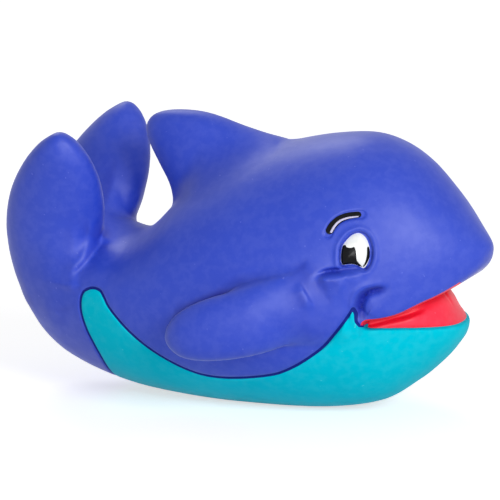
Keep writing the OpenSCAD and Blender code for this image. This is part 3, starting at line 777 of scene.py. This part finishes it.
def build_skin():
    """The whole surface as triangles: a coarse net first, then divided where it needs it."""
    cell = 1.0
    low = np.array([-66.0, -42.0, -2.0]) + 0.013     # off the middle plane and the tables' rows
    X, Y, Z = (low[k] + np.arange(n) * cell for k, n in enumerate((132, 84, 78)))
    skin, lining, _, _ = form(X[:, None, None], np.abs(Y)[None, :, None], Z[None, None, :])
    V, F = surface_net(np.minimum(skin, lining), low, cell)
    V = settle(V, False, 2)
    V = relax(V, F, 3, False)
    for turn in range(3):
        ends, of_face = edges_of(F, len(V))
        a, b = V[ends[:, 0]], V[ends[:, 1]]
        want = fineness((a + b) / 2)
        mark = np.linalg.norm(a - b, axis=1) > 1.35 * want
        if not mark.any():
            break
        V, F, _ = split_edges(V, F, ends, of_face, mark, np.full(len(ends), 0.5))
        V = settle(V, turn > 0, 1)
    V = settle(V, True, 2)
    return relax(V, F, 2, True), F


# ---- pieces of skin

BLUE_SKIN, TEAL_SKIN, LINING, SNOUT_FLOOR = range(4)


def cut_skin():
    """The whole surface, cut along its edges, with the kind of each triangle, and whether it
    lies in the dark band along the edge groove: paint bled into the groove, and painted shade of
    it."""
    V, F = build_skin()
    head = (V[:, 0] > along(0.775)) & (V[:, 2] < 0.68 * HEAD) & (V[:, 2] > 0.2 * HEAD)
    _, skin, lining = value(V)
    f = np.where(head, lining - skin, 3.0)
    V, F, _, side = cut(V, F, f, solve_pair(lambda P: value(P)[1], lambda P: value(P)[2]))
    red = side < 0

    def divide(field, V, F, red):
        V, F, parent, side = cut(V, F, field(V), solve_pair(on_surface, field), ~red)
        return V, F, red[parent], side

    V, F, red, _ = divide(edge_signed, V, F, red)
    for offset in (-LINE_HALF, LINE_HALF):
        def shoulder(P, offset=offset):
            return edge_signed(P) - offset
        V, F, red, _ = divide(shoulder, V, F, red)

    def floor(P):
        f = np.maximum(form_at(P)[3], P[:, 0] - SNOUT_FLOOR_END)
        return np.where(edge_signed(P) > 0.2, f, 3.0)

    V, F, red, _ = divide(floor, V, F, red)

    def hole(P):
        return np.where(P[:, 2] < 8, np.hypot(P[:, 0], P[:, 1]) - NECK_R, 9.0)

    V, F, red, side = divide(hole, V, F, red)
    F, red = F[side > 0], red[side > 0]
    middle = V[F].mean(1)
    side = edge_signed(middle)
    kind = np.where(side < 0, TEAL_SKIN, BLUE_SKIN)
    under = (floor(middle) < 0) & (middle[:, 0] > along(0.79))
    kind[(kind == BLUE_SKIN) & under] = SNOUT_FLOOR
    kind[red] = LINING
    return V, F, kind, (np.abs(side) < LINE_HALF) & (middle[:, 0] < MOUTH_CORNER) & ~red


def vertex_normals(V, F):
    n = np.cross(V[F[:, 1]] - V[F[:, 0]], V[F[:, 2]] - V[F[:, 0]])
    out = sum(gather(F[:, c], n, len(V)) for c in range(3))
    return out / np.maximum(np.linalg.norm(out, axis=1, keepdims=True), 1e-12)


def wall_depth(V, N):
    """Thickness of the wall at each vertex, less where the form is thin."""
    depth, firm = np.full(len(V), 0.25), np.ones(len(V), bool)
    for t in (0.3, 0.5, 0.7, 0.9, 1.1, 1.3, 1.5):
        skin, lining, _, _ = form_at(V - N * t)
        firm &= np.minimum(skin, lining) < -0.72 * t
        depth[firm] = t * 0.8
    return np.minimum(depth, WALL)


def painted_shade(V, N):
    """Painted shade in creases and hollows, from 0 to 1: how far the skin near each vertex
    closes in on it, and darker bands along the creases of the mouth and the cheek.
    """
    total = np.zeros(len(V))
    for reach in (0.7, 1.4, 2.8, 5.6):
        total += 1 - np.clip(value(V + N * reach)[0] / reach, 0, 1)
    shade = total / 4
    # Painted shade along the creases of the mouth and the cheek, darker than their closing in
    # alone gives
    for line, width, start, end, dark in ((MOUTH_CREASE, 1.05, 0.22, 0.3, 0.60),
                                          (CHEEK_CREASE, 0.4, 0.3, 0.4, 0.45)):
        d, taper = trace(flank_view(on_left(V)), line, 4, start, end)
        shade = np.maximum(shade, dark * taper * np.exp(-(d / width) ** 2))
    return shade


def put(name, data):
    o = bpy.data.objects.new(name, data)
    bpy.context.scene.collection.objects.link(o)
    return o


def make_mesh(name, V, faces, materials, slots=None):
    mesh = bpy.data.meshes.new(name)
    mesh.from_pydata((np.asarray(V) * MM).tolist(), [], faces)
    for m in materials:
        mesh.materials.append(m)
    mesh.polygons.foreach_set("use_smooth", np.ones(len(mesh.polygons), bool))
    if slots is not None:
        mesh.polygons.foreach_set("material_index", np.asarray(slots, np.int32))
    mesh.update(calc_edges=True)
    mesh.set_sharp_from_angle(angle=math.radians(50))
    return put(name, mesh)


def shell(name, V, F, N, depth, slots, materials, shade=None):
    """A closed wall from a part of the surface."""
    used, G = np.unique(F, return_inverse=True)
    G = G.reshape(-1, 3)
    n = len(used)
    P = np.concatenate([V[used], V[used] - N[used] * depth[used][:, None]])
    ends = np.stack([G[:, [0, 1]], G[:, [1, 2]], G[:, [2, 0]]], 1).reshape(-1, 2)
    key = ends[:, 0] * n + ends[:, 1]
    back = ends[:, 1] * n + ends[:, 0]
    rim = ends[~np.isin(key, back)]
    quads = np.stack([rim[:, 1], rim[:, 0], rim[:, 0] + n, rim[:, 1] + n], 1)
    faces = G.tolist() + (G[:, ::-1] + n).tolist() + quads.tolist()
    slots = np.concatenate([slots, slots * 0, np.zeros(len(quads), int)])
    o = make_mesh(name, P, faces, materials, slots)
    # The painted shade of creases and hollows is stored on each vertex, for the vinyl's colour
    if shade is not None:
        attribute = o.data.attributes.new("painted_shade", "FLOAT", "POINT")
        attribute.data.foreach_set("value", np.tile(shade[used], 2).astype(np.float32))
    return o


def squeeze(o):
    """Every skin and coat has its placing baked into its mesh."""
    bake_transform(o)


def neck_collar():
    """The neck's ring: its lower face goes on with the belly's curve."""
    round_it, across = 96, 6
    case_low, case_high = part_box("squeaker_case")
    a = np.linspace(0, 2 * math.pi, round_it, endpoint=False)
    r = np.linspace((case_high.x - case_low.x) / 2 / MM, NECK_R, across)
    x, y = np.outer(np.cos(a), r).ravel(), np.outer(np.sin(a), r).ravel()
    _, z = bisect(lambda z: form(x, np.abs(y), z)[0] > 0, np.full(len(x), 6.0),
                  np.full(len(x), -2.0), 24)
    bottom = np.stack([x, y, z], 1).reshape(round_it, across, 3)
    top = bottom[:, ::-1].copy()
    top[:, :, 2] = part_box("squeaker_neck")[1].z / MM
    loop = np.concatenate([bottom, top], 1)
    n = 2 * across
    i, k = (v.ravel() for v in np.meshgrid(np.arange(round_it), np.arange(n), indexing="ij"))
    j, m = (i + 1) % round_it, (k + 1) % n
    faces = np.stack([i * n + k, j * n + k, j * n + m, i * n + m], 1)[:, ::-1]
    o = make_mesh("squeaker_neck_collar", loop.reshape(-1, 3), faces.tolist(), [TEAL])
    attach(o, "base")
    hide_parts("squeaker_neck")


# ---- eyes and brows

def star(centre, *outlines, count=72):
    """Edge of the region round a centre that lies inside all the outlines."""
    a = np.linspace(0, 2 * math.pi, count, endpoint=False)
    way = np.stack([np.cos(a), np.sin(a)], 1)

    def outside(reach):
        P = np.array(centre) + way * reach[:, None]
        return np.max([signed(line, P) for line in outlines], 0) > 0

    reach, _ = bisect(outside, np.zeros(count), np.full(count, 9.0), 26)
    return np.array(centre) + way * reach[:, None]


def patch(centre, edge, rings=9):
    """Vertices and triangles of a filled outline in the eye's axes, and the share of the
    way from centre to edge at each vertex."""
    count = len(edge)
    share = np.sin(np.linspace(0, math.pi / 2, rings + 1))[1:]
    uv = [np.array([centre])] + [centre + (edge - centre) * k for k in share]
    i, j = np.arange(count), (np.arange(count) + 1) % count
    F = [np.stack([i * 0, 1 + i, 1 + j], 1)]
    for k in range(rings - 1):
        a, b = 1 + k * count, 1 + (k + 1) * count
        F += [np.stack([a + i, b + i, b + j], 1), np.stack([a + i, b + j, a + j], 1)]
    return np.concatenate(uv), np.concatenate(F), np.repeat(np.r_[0, share], [1] + [count] * rings)


def ribbon(line, half, across=8):
    """The same for a stroke along a line, with round ends; its share is across it."""
    cum = np.r_[0, np.cumsum(np.linalg.norm(np.diff(line, axis=0), axis=1))]
    place = (1 - np.cos(np.linspace(0, math.pi, 60))) / 2 * cum[-1]
    P = np.stack([np.interp(place, cum, line[:, k]) for k in (0, 1)], 1)
    width = np.interp(place / cum[-1], np.linspace(0, 1, len(half)), half)
    end = np.minimum(place, cum[-1] - place) / width.clip(0.05)
    width = width * np.sqrt(np.clip(1 - np.clip(1 - end, 0, 1) ** 2, 0.004, 1))
    way = np.gradient(P, axis=0)
    way /= np.linalg.norm(way, axis=1, keepdims=True)
    side = np.stack([-way[:, 1], way[:, 0]], 1)
    t = np.sin(np.linspace(-math.pi / 2, math.pi / 2, across + 1))
    uv = (P[:, None] + side[:, None] * (width[:, None] * t)[:, :, None]).reshape(-1, 2)
    k = (np.arange(len(P) - 1)[:, None] * (across + 1) + np.arange(across)).ravel()
    n = across + 1
    F = np.concatenate([np.stack([k, k + n, k + n + 1], 1), np.stack([k, k + n + 1, k + 1], 1)])
    return uv, F, np.tile(np.abs(t), len(P))


def filled(centre, *outlines):
    return patch(centre, star(centre, *outlines))


def coat(part, shape, lift, thick, material, slot, node):
    """One coat of paint on each side, in place of its node."""
    uv, F, _ = shape
    V = eye_point(uv, lift)
    N = np.tile(EYE_OUT, (len(V), 1))
    area = np.cross(uv[F[:, 1]] - uv[F[:, 0]], uv[F[:, 2]] - uv[F[:, 0]])
    F = np.where((area < 0)[:, None], F[:, ::-1], F)
    for side, mirror in (("left", [1, 1, 1]), ("right", [1, -1, 1])):
        G = F[:, ::-1] if side == "left" else F
        o = shell(f"{side}_{part}", V * mirror, G, N * mirror, np.full(len(V), thick),
                  np.zeros(len(G), int), [material])
        squeeze(o)
        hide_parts(f"{side}_{node}")


def paint_face():
    """The coats of both eyes and both brows."""
    white = filled([0.1, 0.2], EYE_EDGE)
    coat("eyeball", white, eye_dome(white[0]), 0.75, WHITE, "white_coat", "eye_white")
    pupil = ring([[-3.8, -0.8], [-3.5, 0.9], [-2.9, 1.62], [-2.0, 1.72], [-0.9, 1.62],
                  [-0.05, 1.15], [0.3, 0.2], [0.32, -1.0], [0.3, -2.0], [0.55, -2.75],
                  [1.2, -3.5], [1.5, -4.1], [0.4, -4.3], [-1.2, -4.0],
                  [-2.8, -3.9], [-3.8, -3.0]])
    dark = filled([-1.5, -1.0], pupil, EYE_EDGE * 0.985)
    coat("pupil_coat", dark, eye_dome(dark[0]) + 0.07 - 0.04 * dark[2] ** 8, 0.14, BLACK,
         "black_coat", "pupil")
    spot = ring([[-2.0, 1.55], [-1.6, 1.05], [-0.8, 0.9], [-0.05, 1.05], [0.4, 1.55],
                 [0.05, 2.1], [-0.8, 2.35], [-1.65, 2.15]])
    glint = filled([-0.8, 1.6], spot)
    coat("glint_coat", glint, eye_dome(glint[0]) + 0.12 - 0.03 * glint[2] ** 8, 0.12, WHITE,
         "white_coat", "eye_glint")
    lash = ribbon(spline([[3.38, 0.75], [3.36, -0.6], [3.08, -1.95], [2.45, -3.2],
                          [1.72, -4.02]], 8), [0.26, 0.36, 0.36, 0.27, 0.14])
    coat("lash_coat", lash, eye_dome(lash[0]) + 0.08 - 0.05 * lash[2] ** 4, 0.16, BLACK,
         "black_coat", "eye_outline")
    arc = spline(BROW_LINE, 8)
    brow = ribbon(arc, [1.0, 0.98, 0.95, 0.9, 0.85, 0.78, 0.72])
    dome = -0.30 + 0.42 * np.sqrt(1 - np.minimum(brow[2], 1) ** 2)
    coat("brow_coat", brow, dome, 0.35, BLACK, "black_coat", "eyebrow")
    # A pale line along the brow's groove, where the glossy brow catches the light: a painted
    # highlight
    pale = ribbon(spline([[-5.35, 5.05], [-4.15, 6.68], [-2.75, 7.72], [-1.01, 8.22],
                          [0.9, 8.32], [1.85, 8.3]], 8),
                  [0.26, 0.27, 0.25, 0.22, 0.19, 0.12])
    coat("brow_painted_highlight", pale, 0.20 - 0.05 * pale[2] ** 4, 0.25, BROW_HIGHLIGHT, "lilac_coat",
         "eyebrow_line")


# ---- materials

def srgb(*levels):
    c = np.array(levels) / 255
    return (*np.where(c <= 0.04045, c / 12.92, ((c + 0.055) / 1.055) ** 2.4).tolist(), 1)


FULL = (1, 1, 1, 1)


class Nodes:
    """Short ways to build a material's node tree."""

    def __init__(self, name):
        self.material = bpy.data.materials.new(name)
        self.material.use_nodes = True
        self.tree = self.material.node_tree
        self.bsdf = self.tree.nodes["Principled BSDF"]
        self.place = self.tree.nodes.new("ShaderNodeTexCoord").outputs["Object"]

    def feed(self, socket, v):
        """Links an output to a socket, or sets a constant on it."""
        if hasattr(v, "is_linked"):
            self.tree.links.new(v, socket)
        else:
            socket.default_value = v

    def fill(self, node, inputs):
        for key, v in inputs.items():
            self.feed(node.inputs[key.replace("_", " ")], v)
        return node

    def add(self, kind, **inputs):
        return self.fill(self.tree.nodes.new(kind), inputs)

    def noise(self, scale, detail=3.0):
        return self.add("ShaderNodeTexNoise", Scale=scale, Detail=detail, Roughness=0.55,
                        Vector=self.place).outputs["Fac"]

    def ramp(self, fac, low, high):
        """Black at low to white at high."""
        node = self.add("ShaderNodeValToRGB", Fac=fac)
        for stop, at in zip(node.color_ramp.elements, (low, high)):
            stop.position = at
        return node.outputs["Color"]

    def mix(self, fac, share, a, b):
        """Colour a, and b up to a share of the factor."""
        node = self.tree.nodes.new("ShaderNodeMix")
        node.data_type = "RGBA"
        factor, *colours = (i for i in node.inputs if i.enabled)
        self.feed(factor, self.maths("MULTIPLY", fac, share))
        self.feed(colours[0], a)
        self.feed(colours[1], b)
        return next(o for o in node.outputs if o.enabled)

    def maths(self, operation, a, b):
        node = self.tree.nodes.new("ShaderNodeMath")
        node.operation = operation
        self.feed(node.inputs[0], a)
        self.feed(node.inputs[1], b)
        return node.outputs[0]

    def bump(self, height, strength, distance, **normal):
        return self.add("ShaderNodeBump", Strength=strength, Distance=distance, Height=height,
                        **normal).outputs["Normal"]

    def set(self, **inputs):
        self.fill(self.bsdf, inputs)
        return self.material


def vinyl(name, base, pale, deep, shade_colour, gloss, rough, sheen, tint=(255, 255, 255)):
    """Soft cast vinyl: mottled pigment, fine mould grain, a dusty bloom and painted shade in the
    creases. The colours are sRGB: the body's, the bloom's, the mottling's, and the painted
    shade's."""
    base, pale, deep, shade_colour, tint = (srgb(*c) for c in (base, pale, deep, shade_colour, tint))
    m = Nodes(name)
    cloud = m.ramp(m.noise(45), 0.35, 0.68)
    fine = m.ramp(m.noise(420, 4), 0.42, 0.62)
    colour = m.mix(cloud, 0.35, base, deep)
    colour = m.mix(fine, 0.1, colour, pale)
    speck = m.ramp(m.noise(800, 1), 0.775, 0.790)
    colour = m.mix(speck, 0.5, colour, pale)
    # Painted shade: the colour goes towards the shade colour where the vertex attribute says the
    # skin closes in
    near = m.tree.nodes.new("ShaderNodeAttribute")
    near.attribute_name = "painted_shade"
    shut = m.ramp(near.outputs["Fac"], 0.1, 0.55)
    colour = m.mix(shut, 0.85, colour, shade_colour)
    grain = m.bump(m.noise(1500, 3), 0.1, 0.0002)
    grain = m.bump(m.noise(160, 2), 0.16, 0.0006, Normal=grain)
    roughness = m.maths("ADD", m.maths("MULTIPLY", cloud, 0.08), rough)
    return m.set(Base_Color=colour, Roughness=roughness, Normal=grain, IOR=1.47,
                 Specular_IOR_Level=gloss, Specular_Tint=tint, Sheen_Weight=sheen,
                 Sheen_Roughness=0.3)


def paint(name, base, other, rough, coat=0.25, gloss=0.3):
    """A thin coat of paint or a small moulding: clouded colour, faint brush and dust marks."""
    m = Nodes(name)
    cloud = m.ramp(m.noise(600, 3), 0.4, 0.65)
    colour = m.mix(cloud, 0.5, srgb(*base), srgb(*other))
    grain = m.bump(m.noise(900, 2), 0.12, 0.0002)
    roughness = m.maths("ADD", m.maths("MULTIPLY", cloud, 0.10), rough)
    return m.set(Base_Color=colour, Roughness=roughness, Normal=grain,
                 Specular_IOR_Level=gloss, Coat_Weight=coat, Coat_Roughness=0.12)


# The fourth colour of each vinyl is its painted shade in creases and hollows
BLUE = vinyl("blue_cast_vinyl", (38, 70, 200), (110, 124, 220), (30, 61, 192), (18, 34, 158),
             0.65, 0.46, 0.15)
TEAL = vinyl("teal_cast_vinyl", (0, 205, 228), (90, 224, 236), (0, 195, 219), (0, 130, 166),
             0.06, 0.46, 0.0, (0, 225, 235))
RED = vinyl("red_cast_vinyl", (255, 52, 80), (255, 120, 140), (250, 40, 66), (226, 12, 44),
            0.3, 0.36, 0.05)
# Dark blue of the band along the edge groove: partly paint bled into the groove, partly painted
# shade of the groove
GROOVE_PAINT_AND_SHADE = vinyl("groove_paint_and_shade", (20, 40, 140), (40, 64, 160), (14, 30, 120), (14, 30, 120),
                  0.15, 0.5, 0.0)
WHITE = paint("white_paint", (250, 252, 250), (238, 244, 243), 0.14)
BLACK = paint("black_paint", (5, 5, 10), (10, 10, 20), 0.2, 0.08, 0.12)
# Pale lilac of the painted highlight along each brow
BROW_HIGHLIGHT = paint("lilac_painted_highlight", (214, 208, 238), (194, 186, 226), 0.25)
PLASTIC = paint("moulded_plastic", (231, 231, 224), (216, 216, 206), 0.38, 0.0)
FILM = paint("reed_film", (200, 160, 84), (186, 142, 66), 0.25, 0.3)

V, F, kind, in_groove_paint_and_shade = cut_skin()
N = vertex_normals(V, F)
depth = wall_depth(V, N)
# Painted shade of the creases and hollows, which darkens the vinyl's colour there
shade = painted_shade(V, N)

for name, number, materials, node, slot in (
        ("back_skin_cast", BLUE_SKIN, [BLUE, GROOVE_PAINT_AND_SHADE], "back_skin", "blue_vinyl"),
        ("belly_skin_cast", TEAL_SKIN, [TEAL, GROOVE_PAINT_AND_SHADE], "belly_skin", "teal_vinyl"),
        ("mouth_lining_cast", LINING, [RED], "mouth_lining", "red_vinyl"),
        ("snout_floor_coat", SNOUT_FLOOR, [RED], None, "red_vinyl")):
    pick = kind == number
    # The band along the edge groove takes the second material: paint bled into the groove, with
    # painted shade of it
    slots = in_groove_paint_and_shade[pick] * (len(materials) - 1)
    piece = shell(name, V, F[pick], N, depth, slots, materials, shade)
    squeeze(piece)
    if node:
        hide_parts(node)

paint_face()
neck_collar()
for node in ("squeaker_case", "reed_seat", "reed_clip", "reed", "squeaker_cap"):
    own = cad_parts[node].data.materials
    for k in range(len(own)):
        own[k] = FILM if node == "reed" else PLASTIC

# ---- scene

bpy.context.scene.view_settings.view_transform = "Standard"

AZIMUTH, ELEVATION, DISTANCE = math.radians(21), math.radians(12), 1600.0
PX_PER_MM, FRAME_PX, SENSOR = 4.0, 500, 36
AIM_HEIGHT, AIM_RIGHT, AIM_UP = 34.0, -1.375, 3.5
LAMP_DISTANCE = 1.4
WORLD_LEVEL, FLOOR_GREY, FLOOR_GLOW = 0.26, 0.8, 0.62

right = Vector((math.cos(AZIMUTH), math.sin(AZIMUTH), 0))
ahead = Vector((-math.sin(AZIMUTH) * math.cos(ELEVATION),
                math.cos(AZIMUTH) * math.cos(ELEVATION), -math.sin(ELEVATION)))
upward = right.cross(ahead)
aim = (Vector((0, 0, AIM_HEIGHT)) + right * AIM_RIGHT + upward * AIM_UP) * MM
camera = put("camera", bpy.data.cameras.new("camera"))
camera.location = aim - ahead * DISTANCE * MM
camera.rotation_euler = ahead.to_track_quat("-Z", "Y").to_euler()
camera.data.sensor_width = SENSOR
camera.data.lens = PX_PER_MM * DISTANCE / FRAME_PX * SENSOR
camera.data.clip_end = 20
bpy.context.scene.camera = camera


def area_light(name, azimuth, elevation, size, watts):
    """A round soft lamp at a bearing from the toy's right side, aimed at the toy."""
    data = bpy.data.lights.new(name, "AREA")
    data.shape = "DISK"
    data.size = size
    data.energy = watts
    o = put(name, data)
    a, e = math.radians(azimuth), math.radians(elevation)
    way = Vector((math.sin(a) * math.cos(e), -math.cos(a) * math.cos(e), math.sin(e)))
    o.location = way * LAMP_DISTANCE
    o.rotation_euler = (Vector((0, 0, 0.03)) - o.location).to_track_quat("-Z", "Y").to_euler()


area_light("key", 52, 26, 0.55, 9.0)
area_light("front", 18, 7, 0.45, 5.5)
area_light("back", -142, 45, 0.6, 4.0)


def shown(tree):
    """1 for the rays that show the background: camera, glossy and transmission rays."""
    path = tree.nodes.new("ShaderNodeLightPath")
    out = path.outputs["Is Camera Ray"]
    for kind in ("Is Glossy Ray", "Is Transmission Ray"):
        node = tree.nodes.new("ShaderNodeMath")
        node.operation = "MAXIMUM"
        tree.links.new(out, node.inputs[0])
        tree.links.new(path.outputs[kind], node.inputs[1])
        out = node.outputs[0]
    return out


world = bpy.data.worlds.new("world")
bpy.context.scene.world = world
world.use_nodes = True
tree = world.node_tree
background = tree.nodes["Background"]
level = tree.nodes.new("ShaderNodeMapRange")
level.inputs["To Min"].default_value = WORLD_LEVEL
level.inputs["To Max"].default_value = 1.0
tree.links.new(shown(tree), level.inputs["Value"])
tree.links.new(level.outputs[0], background.inputs["Strength"])
background.inputs["Color"].default_value = FULL

# The floor: white where nothing shades it, with the toy's soft shadow
floor_mesh = bpy.data.meshes.new("floor")
floor_mesh.from_pydata([(-3, -3, 0), (3, -3, 0), (3, 3, 0), (-3, 3, 0)], [], [(0, 1, 2, 3)])
floor = put("floor", floor_mesh)
floor.location.z = -0.00005
f = Nodes("floor")
f.tree.nodes.remove(f.bsdf)
diffuse = f.add("ShaderNodeBsdfDiffuse", Color=(FLOOR_GREY, FLOOR_GREY, FLOOR_GREY, 1))
glow = f.add("ShaderNodeEmission", Color=FULL,
             Strength=f.maths("MULTIPLY", shown(f.tree), FLOOR_GLOW))
both = f.tree.nodes.new("ShaderNodeAddShader")
f.tree.links.new(diffuse.outputs[0], both.inputs[0])
f.tree.links.new(glow.outputs[0], both.inputs[1])
f.tree.links.new(both.outputs[0], f.tree.nodes["Material Output"].inputs["Surface"])
floor_mesh.materials.append(f.material)
